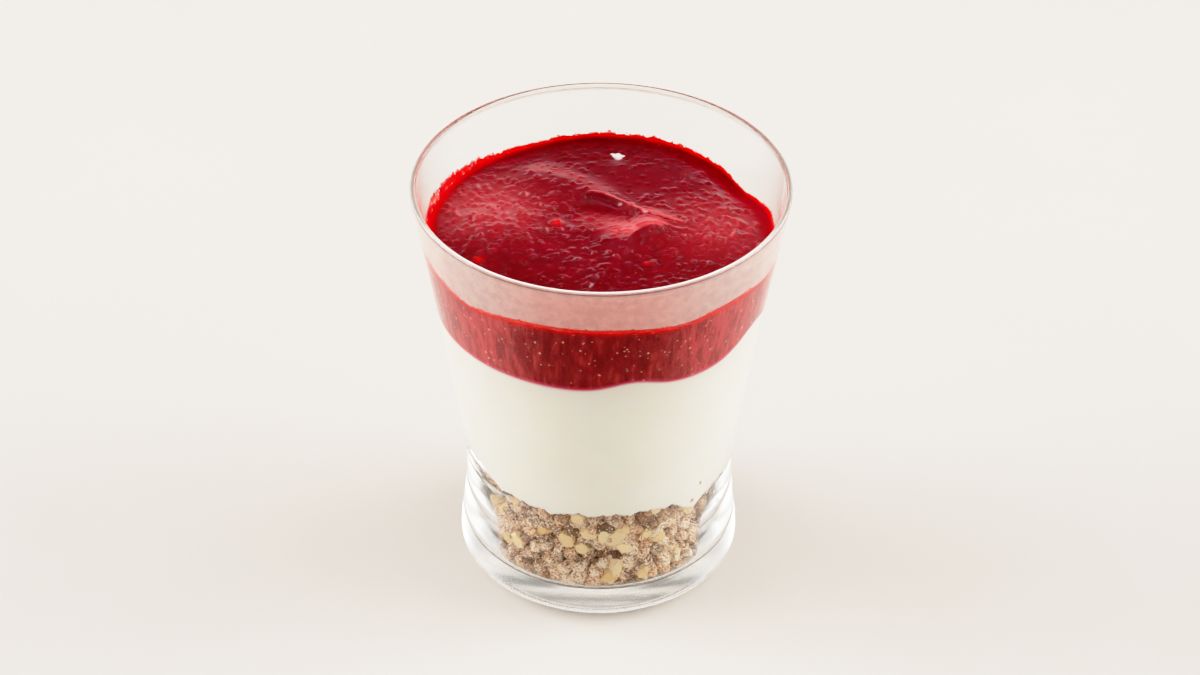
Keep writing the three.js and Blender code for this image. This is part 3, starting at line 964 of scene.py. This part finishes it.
def make_juice(settings):
    """The film of juice on the glass above the coulis, highest at the left."""
    angles = segment_angles(LAYER_SEGMENTS)
    wide = bell(turn_from(angles, FILM_ANGLE), 34)
    rise = 0.6 + 0.2 * ragged(angles, 15) + 2.0 * wide
    low = pulp_edge(angles) - 0.4
    high = edge_level(COULIS_EDGE, COULIS_WAVES, angles) + np.clip(rise, 0.3, None)
    rings = skin_rings(low, high, FILM_RINGS, FILM_DEPTH)
    piece = shell_mesh("juice_film", rings, juice_finish(settings))
    share = np.linspace(0, 1, FILM_RINGS)
    set_attribute(piece, "thin", np.repeat(np.concatenate([share, share[::-1]]), LAYER_SEGMENTS))
    set_attribute(piece, "wide", np.tile(wide, len(rings)))
    return piece


def make_cream(settings):
    """The cream, from the crumbs up to the coulis, with a stain along its upper line on the glass."""
    angles = segment_angles(LAYER_SEGMENTS)
    low = edge_level(BASE_EDGE, BASE_WAVES, angles) + LAYER_GAP + 0.38 * ragged(angles, 7)
    high = edge_level(CREAM_EDGE, CREAM_WAVES, angles)
    rings = face_rings(HIDDEN_RINGS * BASE_REACH, hollow_radius(low) + CONTACT, cream_floor)
    side = slice(len(rings), len(rings) + CREAM_RINGS)
    rings += wall_rings(low, high, CREAM_RINGS)
    rings += face_rings((1 - HIDDEN_RINGS) * CREAM_REACH, hollow_radius(high) + CONTACT, cream_top)
    poles = [(0, 0, float(cream_floor(0.0, 0.0))), (0, 0, float(cream_top(0.0, 0.0)))]
    piece = turned_mesh("cream_layer", rings, poles, cream_finish(settings))
    height = np.array(rings)[:, :, 2]
    stain = np.zeros_like(height)
    stain[side] = 1 - smoothstep(high - height[side], 0.15, 0.75)
    set_attribute(piece, "stain", np.concatenate([stain.ravel(), [0, 0]]))
    return piece


def make_dab(settings):
    """The small dab of cream that shows through the coulis near the far side."""
    middle_x, middle_y = CREAM_DAB
    level = float(coulis_top(np.array([middle_x]), np.array([middle_y]))[0])
    turns = np.linspace(0, 2 * math.pi, 40, endpoint=False)
    wobble = 1 + 0.28 * np.sin(5 * turns + 0.7) + 0.12 * np.sin(3 * turns)
    rings = []
    for share, rise in ((0.55, -0.5), (1.0, -0.25), (1.05, 0.0), (0.75, 0.22), (0.4, 0.32)):
        x = middle_x + DAB_SIZE[0] * share * wobble * np.sin(turns)
        y = middle_y - DAB_SIZE[1] * share * wobble * np.cos(turns)
        rings.append(np.stack([x, y, np.full(len(x), level + rise)], -1))
    poles = [(middle_x, middle_y, level - 0.6), (middle_x, middle_y, level + 0.5)]
    piece = turned_mesh("cream_dab", rings, poles, cream_finish(settings))
    set_attribute(piece, "stain", [*np.repeat([1.0, 1.0, 1.0, 0.35, 0.0], len(turns)), 1.0, 0.0])
    return piece


def base_core():
    """Rings of the packed crumbs behind the ones that show, a rough body inside the hollow, dark with painted
    shade where it shows in the gaps.
    """
    angles = segment_angles(CORE_SEGMENTS)
    top = edge_level(BASE_EDGE, BASE_WAVES, angles) - CORE_DROP
    low = np.full(CORE_SEGMENTS, CAVITY_FLOOR + CORE_LIFT)
    floor_steps = np.linspace(CORE_FLOOR_RADIUS, 0, CORE_FLOOR_RINGS + 1)[:-1]
    rings = face_rings(floor_steps, np.full(CORE_SEGMENTS, CORE_FLOOR_RADIUS), lambda x, y: low)
    rings = np.array(rings + wall_rings(low, top, CORE_RINGS, CORE_INSET))
    side = rings[CORE_FLOOR_RINGS:]
    bumps = pulp_noise(np.radians(angles) * CORE_RADIUS, side[:, :, 2], 2.6, 21)
    side[:, :, :2] *= (1 + 0.022 * bumps)[..., None]
    top_rings = face_rings(np.linspace(0, CORE_RADIUS, 8)[1:], hollow_radius(top) - CORE_INSET, core_top)
    return np.concatenate([rings, top_rings])


def crumb_shape_tree():
    """A tree that strews rough crumbs over a surface or puts one on each point, each with its own tone."""
    tree = bpy.data.node_groups.new("strew crumbs", "GeometryNodeTree")
    inputs = [
        ("Geometry", "Geometry", None), ("Spacing", "Float", 1.0 * MM), ("Density", "Float", 1000.0),
        ("Smallest", "Float", 1.0 * MM), ("Largest", "Float", 2.0 * MM), ("Roughness", "Float", 0.3),
        ("Grain", "Float", 900.0), ("Flatness", "Float", 0.6), ("Seed", "Int", 1), ("Detail", "Int", 2),
        ("Placed", "Bool", False), ("Material", "Material", None),
    ]
    for name, kind, value in inputs:
        socket = tree.interface.new_socket(name, in_out="INPUT", socket_type="NodeSocket" + kind)
        if value is not None:
            socket.default_value = value
    tree.interface.new_socket("Geometry", in_out="OUTPUT", socket_type="NodeSocketGeometry")
    sheet = Sheet(tree)
    given = sheet.node("NodeGroupInput").outputs
    strewn = sheet.node(
        "GeometryNodeDistributePointsOnFaces", {"distribute_method": "POISSON"},
        mesh=given["Geometry"], distance_min=given["Spacing"], density_max=given["Density"],
        seed=given["Seed"],
    )
    at_points = sheet.node("GeometryNodeMeshToPoints", {"mode": "VERTICES"}, mesh=given["Geometry"])
    places = sheet.node(
        "GeometryNodeSwitch", {"input_type": "GEOMETRY"},
        switch=given["Placed"], false=strewn.outputs["Points"], true=at_points.outputs[0],
    )
    shape = sheet.node("GeometryNodeMeshIcoSphere", None, radius=1.0, subdivisions=given["Detail"])
    turn = sheet.node(
        "FunctionNodeRandomValue", {"data_type": "FLOAT_VECTOR"}, max=(6.28, 6.28, 6.28), seed=given["Seed"]
    )
    size = sheet.node(
        "FunctionNodeRandomValue", {"data_type": "FLOAT"},
        min=given["Smallest"], max=given["Largest"], seed=given["Seed"],
    )
    lowest = sheet.node("ShaderNodeCombineXYZ", None, x=0.75, y=0.65, z=given["Flatness"])
    shares = sheet.node(
        "FunctionNodeRandomValue", {"data_type": "FLOAT_VECTOR"},
        min=lowest.outputs[0], max=(1.1, 0.95, 0.9), seed=7,
    )
    scale = sheet.node(
        "ShaderNodeVectorMath", {"operation": "SCALE"}, vector=shares.outputs[0], scale=size.outputs[1]
    )
    placed = sheet.node(
        "GeometryNodeInstanceOnPoints", None, points=places.outputs[0],
        instance=shape.outputs[0], rotation=turn.outputs[0], scale=scale.outputs[0],
    )
    tone = sheet.node("FunctionNodeRandomValue", {"data_type": "FLOAT"}, seed=31)
    toned = sheet.node(
        "GeometryNodeStoreNamedAttribute", {"data_type": "FLOAT", "domain": "INSTANCE"},
        geometry=placed.outputs[0], name="tone", value=tone.outputs[1],
    )
    real = sheet.node("GeometryNodeRealizeInstances", None, geometry=toned.outputs[0])
    lumps = sheet.node("ShaderNodeTexNoise", {"noise_dimensions": "3D"}, scale=given["Grain"], detail=2.0)
    centred = sheet.node(
        "ShaderNodeVectorMath", {"operation": "SUBTRACT"}, in0=lumps.outputs["Color"], in1=(0.5, 0.5, 0.5)
    )
    reach = Value(sheet, given["Largest"]) * Value(sheet, given["Roughness"])
    push = sheet.node("ShaderNodeVectorMath", {"operation": "SCALE"}, vector=centred.outputs[0], scale=reach)
    rough = sheet.node("GeometryNodeSetPosition", None, geometry=real.outputs[0], offset=push.outputs[0])
    finished = sheet.node(
        "GeometryNodeSetMaterial", None, geometry=rough.outputs[0], material=given["Material"]
    )
    sheet.node("NodeGroupOutput", None, geometry=finished.outputs[0])
    return tree


def strew(name, carrier, tree, material, **inputs):
    """Strews shapes over a carrier with the tree, and returns them as one plain mesh object."""
    inputs["Material"] = material
    modifier = carrier.modifiers.new(name, "NODES")
    modifier.node_group = tree
    for socket in tree.interface.items_tree:
        if socket.in_out == "INPUT" and socket.name in inputs:
            modifier[socket.identifier] = inputs[socket.name]
    graph = bpy.context.evaluated_depsgraph_get()
    mesh = bpy.data.meshes.new_from_object(carrier.evaluated_get(graph), depsgraph=graph)
    carrier.modifiers.remove(modifier)
    mesh.name = name
    piece = bpy.data.objects.new(name, mesh)
    bpy.context.scene.collection.objects.link(piece)
    return piece


def press_in(piece, gap, top_gap=None):
    """Presses what reaches past the hollow flat against it, and under the cream where top_gap is given."""
    points = mesh_points(piece)
    ceiling = base_top(points[:, 0], points[:, 1])
    points[:, 2] = np.clip(points[:, 2], CAVITY_FLOOR + gap, None)
    if top_gap is not None:
        ceiling -= top_gap
        points[:, 2] = np.minimum(points[:, 2], ceiling)
    wall = hollow_radius(points[:, 2])
    radius = np.maximum(np.hypot(points[:, 0], points[:, 1]), 1e-6)
    points[:, :2] *= np.minimum(1, (wall - gap) / radius)[:, None]
    piece.data.vertices.foreach_set("co", (points * MM).ravel())
    piece.data.update()
    # How deep each point lies behind the glass, which the crumb and nut finishes darken as painted shade
    set_attribute(piece, "depth", wall - np.hypot(points[:, 0], points[:, 1]))
    wet = smoothstep(points[:, 2], ceiling - 4.5, ceiling - 0.5)
    set_attribute(piece, "wet", wet * (0.6 + 0.4 * pulp_noise(points[:, 0], points[:, 1], 5.0, 9)))


def faces_near_wall(name, piece, limit):
    """The triangles of a piece that lie less than limit behind the hollow's wall, to strew things on."""
    points = mesh_points(piece)
    corners = np.empty(len(piece.data.loops), int)
    piece.data.loops.foreach_get("vertex_index", corners)
    faces = corners.reshape(-1, 3)
    middles = points[faces].mean(1)
    depth = hollow_radius(middles[:, 2]) - np.hypot(middles[:, 0], middles[:, 1])
    return write_mesh(name, points, faces[depth < limit].tolist(), None)


def wall_places(name, spots, inset):
    """A loose point on the hollow's wall for each pair of an angle and a height."""
    points = []
    for angle, height in spots:
        radius, turn = hollow_radius(height) - inset, math.radians(angle)
        points.append((radius * math.sin(turn), -radius * math.cos(turn), height))
    return write_mesh(name, points, [], None)


def make_crumbs(settings):
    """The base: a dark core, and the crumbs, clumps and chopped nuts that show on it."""
    crumb_look = crumb_finish("biscuit crumb", settings.crumb_colour, settings.brown_colour, settings)
    # The core's darker colours are painted shade in the gaps between the crumbs
    core_look = crumb_finish("packed crumb", settings.brown_colour, settings.dark_crumb_and_shade_colour, settings)
    rings = base_core()
    poles = [(0, 0, CAVITY_FLOOR + CORE_LIFT), (0, 0, float(core_top(0.0, 0.0)))]
    core = turned_mesh("crumb_core", rings, poles, core_look)
    set_attribute(core, "tone", np.full(len(core.data.vertices), 0.5))
    press_in(core, gap=0.5, top_gap=0.3)
    tree = crumb_shape_tree()
    pieces = [core]
    wall = band_mesh("core wall", rings[CORE_FLOOR_RINGS - 1:CORE_FLOOR_RINGS + CORE_RINGS])
    clumps = strew(
        "crumb_clumps", wall, tree, crumb_look, Spacing=2.9 * MM, Density=4e6, Smallest=1.5 * MM,
        Largest=2.4 * MM, Roughness=1.0, Grain=420.0, Seed=5, Detail=2, Flatness=0.75,
    )
    crumbs = strew(
        "crumbs", wall, tree, crumb_look, Spacing=1.6 * MM, Density=4e6, Smallest=0.4 * MM,
        Largest=0.9 * MM, Roughness=1.1, Grain=900.0, Seed=8, Detail=2, Flatness=0.6,
    )
    press_in(clumps, gap=0.12, top_gap=0.1)
    outside = faces_near_wall("outside of clumps", clumps, limit=2.0)
    grains = strew(
        "crumb_grains", outside, tree, crumb_look, Spacing=0.64 * MM, Density=9e6, Smallest=0.14 * MM,
        Largest=0.34 * MM, Roughness=1.2, Grain=2500.0, Seed=13, Detail=1, Flatness=0.5,
    )
    for piece in (crumbs, grains):
        press_in(piece, gap=0.12, top_gap=0.1)
    nuts = wall_places("nut places", NUTS_SEEN, inset=1.5)
    for name, carrier, placed, detail in (("nut_chips", nuts, True, 4), ("deeper_nuts", wall, False, 2)):
        chips = strew(
            name, carrier, tree, nut_finish(), Spacing=9.0 * MM, Density=4e6, Smallest=settings.smallest_nut,
            Largest=settings.largest_nut, Roughness=1.25, Grain=290.0, Seed=3, Detail=detail, Flatness=0.45,
            Placed=placed,
        )
        press_in(chips, gap=0.1, top_gap=0.1)
        pieces.append(chips)
    strays = wall_places("stray places", STRAY_CRUMBS, inset=0.0)
    stray = strew(
        "stray_crumbs", strays, tree, crumb_look, Smallest=0.5 * MM, Largest=0.95 * MM,
        Roughness=1.0, Grain=900.0, Seed=4, Detail=2, Flatness=0.6, Placed=True,
    )
    press_in(stray, gap=-0.12)
    for carrier in (wall, outside, nuts, strays):
        bpy.data.objects.remove(carrier)
    return pieces + [clumps, crumbs, grains, stray]


def make_haze():
    """The bloom on the hollow's wall between the coulis and the lip, as a thin shell."""
    angles = segment_angles(GLASS_SEGMENTS)
    low = edge_level(COULIS_EDGE, COULIS_WAVES, angles) + 0.2
    high = np.full(GLASS_SEGMENTS, LIP_ROUND[1])
    rings = skin_rings(low, high, BLOOM_RINGS, BLOOM_DEPTH)
    piece = shell_mesh("glass_bloom", rings, haze_finish())
    forward = np.abs(angles)
    # Along the lip's top the bloom is thicker and white, painted light that goes with the lip's painted
    # highlight
    lip = smoothstep(rings[:, :, 2], 98.7, 99.1)
    set_attribute(piece, "haze", np.maximum(0.57 - 0.53 * smoothstep(forward, 45, 110), 0.5 * lip))
    set_attribute(piece, "white", np.maximum(0.75 * smoothstep(forward, 10, 45), lip))
    return piece


# Stage

def make_floor(settings):
    """A wide pale floor with a faint marbling, a hair below the foot so that air stays between them."""
    finish = Finish("pale floor")
    cloud = finish.noise(9.0, detail=4.0, roughness=0.6)
    shade = finish.mix(cloud.between(0.3, 0.7), settings.floor_colour, FLOOR_CLOUD)
    surface = finish.principled(base_color=shade, roughness=0.75, specular_ior_level=0.2)
    sides = [(-1, -1), (1, -1), (1, 1), (-1, 1)]
    corners = [(FLOOR_HALF * x, FLOOR_HALF * y, -FLOOR_DROP) for x, y in sides]
    floor = write_mesh("floor", corners, [(0, 1, 2, 3)], finish.output(surface))


def make_light():
    """Bright windows at both sides, a pale wall low down behind, and a pale ceiling that is dark behind."""
    world = bpy.data.worlds.new("room light")
    world.use_nodes = True
    sheet = Sheet(world.node_tree)
    way = sheet.node("ShaderNodeTexCoord").outputs["Generated"]
    parts = sheet.node("ShaderNodeSeparateXYZ", None, vector=way)
    across, depth, height = (sheet.value(parts, axis) for axis in range(3))
    sideways = across.maths("ABSOLUTE", across)
    windows = (sideways * 0.95 + depth * 0.1).between(0.7, 0.9) * height.between(-0.05, 0.1)
    windows = windows * (1 - height.between(0.6, 0.85))
    behind = depth.between(0.3, 0.7) * (1 - height.between(0.14, 0.42))
    dark_patch = depth.between(0.0, 0.25) * (1 - sideways.between(0.25, 0.5))
    overhead = height.between(0.5, 0.7) * (1 - dark_patch * 0.8)
    front = (0 - depth).between(0.0, 0.5)
    light = ROOM_LIGHT + windows * WINDOW_LIGHT + behind * BACK_LIGHT
    light = light + overhead * CEILING_LIGHT + front * FRONT_LIGHT
    background = sheet.node("ShaderNodeBackground", None, color=LIGHT_COLOUR, strength=light)
    sheet.node("ShaderNodeOutputWorld", None, surface=background.outputs[0])
    bpy.context.scene.world = world


def make_camera():
    """The photograph's camera, and how its picture is developed."""
    lens = bpy.data.cameras.new("camera")
    lens.lens = CAMERA_LENS
    camera = bpy.data.objects.new("camera", lens)
    place = Vector(CAMERA_PLACE)
    look = (Vector(CAMERA_TARGET) - place).to_track_quat("-Z", "Y").to_matrix().to_4x4()
    camera.matrix_world = Matrix.Translation(place) @ look @ Matrix.Rotation(CAMERA_ROLL, 4, "Z")
    bpy.context.scene.collection.objects.link(camera)
    bpy.context.scene.camera = camera
    develop(bpy.context.scene.view_settings)
    paths = bpy.context.scene.cycles
    paths.max_bounces = paths.glossy_bounces = paths.transmission_bounces = LIGHT_BOUNCES


def develop(view):
    """Gives the picture a camera's deep darks and soft shoulder, so that whites keep their shades."""
    view.view_transform = "Standard"
    view.use_curve_mapping = True
    mapping = view.curve_mapping
    mapping.white_level = (BRIGHTEST, BRIGHTEST, BRIGHTEST)
    curve = mapping.curves[3]
    for light, shown in SHOULDER:
        curve.points.new(light / BRIGHTEST, shown)
    mapping.update()


# Settings

def length_property(name, description, millimetres):
    """A length that a user may change."""
    return FloatProperty(
        name=name, description=description, default=millimetres * MM, min=0, precision=5, unit="LENGTH"
    )


def colour_property(name, description, shade):
    """A colour that a user may change."""
    return FloatVectorProperty(
        name=name, description=description, default=shade, size=4, min=0, max=1, subtype="COLOR"
    )


class TumblerSettings(bpy.types.PropertyGroup):
    lip_thickness: length_property("Lip thickness", "Thickness of the glass at its lip", 1.3)
    punt_rise: length_property("Punt rise", "How far the middle of the foot is raised", 1.4)
    foot_inner: length_property("Foot inner radius", "Inner radius of the ring that it stands on", 24.0)
    foot_outer: length_property("Foot outer radius", "Outer radius of the ring that it stands on", 28.0)


class CoulisSettings(bpy.types.PropertyGroup):
    deep_colour: colour_property("Deep colour", "The coulis where it is deep", colour(108, 0, 25))
    pulp_colour: colour_property("Pulp colour", "Lighter pulp in the coulis", colour(124, 1, 30))
    # Lighter pulp streaks on the glass, and the painted light on the coulis's slopes and sides
    pale_streak_and_lit_colour: colour_property("Pale colour", "The coulis where it is lightest", colour(214, 74, 80))
    side_colour: colour_property("Side colour", "The coulis against the glass", colour(148, 38, 46))
    seed_colour: colour_property("Seed colour", "Fine pale specks", colour(236, 160, 140))
    # Thin pulp and juice, its brightness partly painted light shining through them
    thin_colour: colour_property("Thin colour", "The thin edge on the glass", colour(226, 2, 4))
    stain_colour: colour_property("Stain colour", "Where coulis and cream meet", colour(222, 80, 110))
    droplet_colour: colour_property("Droplet colour", "The finest droplets on the glass", colour(238, 96, 88))
    glow: length_property("Glow", "How far light goes through the pulp", 1.6)
    pimples: length_property("Pimples", "Height of the pulp's fine pimples", 0.1)


class CreamSettings(bpy.types.PropertyGroup):
    cream_colour: colour_property("Cream colour", "The cream", colour(252, 246, 234))
    shade_colour: colour_property("Shade colour", "Slightly darker parts of the cream", colour(250, 243, 229))
    stain_colour: colour_property("Stain colour", "Cream stained by the coulis", colour(226, 100, 128))


class CrumbSettings(bpy.types.PropertyGroup):
    crumb_colour: colour_property("Crumb colour", "Sandy crumbs", colour(255, 222, 188))
    brown_colour: colour_property("Brown colour", "Browner crumbs", colour(246, 188, 142))
    # Dark crumbs, and the painted shade of the core in the gaps
    dark_crumb_and_shade_colour: colour_property("Dark colour", "Dark crumbs and gaps", colour(98, 70, 54))
    wet_colour: colour_property("Wet colour", "Crumbs wetted by the cream", colour(178, 122, 84))
    smallest_nut: length_property("Smallest nut", "Half the width of the smallest chopped nut", 1.8)
    largest_nut: length_property("Largest nut", "Half the width of the largest chopped nut", 2.7)


class StageSettings(bpy.types.PropertyGroup):
    floor_colour: colour_property("Floor colour", "The pale floor", colour(209, 202, 195))


# Operators

class MakeStage(bpy.types.Operator):
    """Lays the pale floor, sets the soft light and the photograph's camera"""

    bl_idname = "cheesecake.make_stage"
    bl_label = "Make the Stage"

    def execute(self, context):
        make_floor(context.scene.cheesecake_stage)
        make_light()
        make_camera()
        return {"FINISHED"}


class MakeTumbler(bpy.types.Operator):
    """Turns the glass tumbler and the faint bloom on its wall"""

    bl_idname = "cheesecake.make_tumbler"
    bl_label = "Make the Tumbler"

    def execute(self, context):
        keep(make_tumbler(context.scene.cheesecake_tumbler), "glass", "glass")
        keep(make_haze(), "glass")
        return {"FINISHED"}


class MakeCoulis(bpy.types.Operator):
    """Spoons the coulis on top, with its two folds, its pulp and the film of juice over it"""

    bl_idname = "cheesecake.make_coulis"
    bl_label = "Make the Coulis"

    def execute(self, context):
        keep(make_coulis(context.scene.cheesecake_coulis), "coulis", "coulis")
        keep(make_juice(context.scene.cheesecake_coulis), "coulis", "coulis")
        return {"FINISHED"}


class MakeCream(bpy.types.Operator):
    """Fills in the cream and the dab of it that shows through the coulis"""

    bl_idname = "cheesecake.make_cream"
    bl_label = "Make the Cream"

    def execute(self, context):
        keep(make_cream(context.scene.cheesecake_cream), "cream", "cream")
        keep(make_dab(context.scene.cheesecake_cream), "cream")
        return {"FINISHED"}


class MakeCrumbBase(bpy.types.Operator):
    """Packs the base of crumbs, clumps and chopped nuts"""

    bl_idname = "cheesecake.make_crumb_base"
    bl_label = "Make the Crumb Base"

    def execute(self, context):
        for piece in make_crumbs(context.scene.cheesecake_crumbs):
            keep(piece, "crumb_base", "crumb_base")
        return {"FINISHED"}


# Panel, and what runs it all

class CheesecakePanel(bpy.types.Panel):
    """Buttons for each part of the cup"""

    bl_label = "Raw Cheesecake Cup"
    bl_idname = "VIEW3D_PT_cheesecake"
    bl_space_type = "VIEW_3D"
    bl_region_type = "UI"
    bl_category = "Cheesecake"

    def draw(self, context):
        for step in STEPS:
            self.layout.operator(step.bl_idname)


STEPS = (MakeStage, MakeTumbler, MakeCrumbBase, MakeCream, MakeCoulis)
SETTINGS = {
    "cheesecake_tumbler": TumblerSettings,
    "cheesecake_coulis": CoulisSettings,
    "cheesecake_cream": CreamSettings,
    "cheesecake_crumbs": CrumbSettings,
    "cheesecake_stage": StageSettings,
}


def register():
    for group in (*SETTINGS.values(), *STEPS, CheesecakePanel):
        bpy.utils.register_class(group)
    for name, group in SETTINGS.items():
        setattr(bpy.types.Scene, name, PointerProperty(type=group))


def unregister():
    for name in SETTINGS:
        delattr(bpy.types.Scene, name)
    for group in reversed((*SETTINGS.values(), *STEPS, CheesecakePanel)):
        bpy.utils.unregister_class(group)


def main():
    register()
    bpy.ops.cheesecake.make_stage()
    bpy.ops.cheesecake.make_tumbler()
    bpy.ops.cheesecake.make_crumb_base()
    bpy.ops.cheesecake.make_cream()
    bpy.ops.cheesecake.make_coulis()


if __name__ == "__main__":
    main()
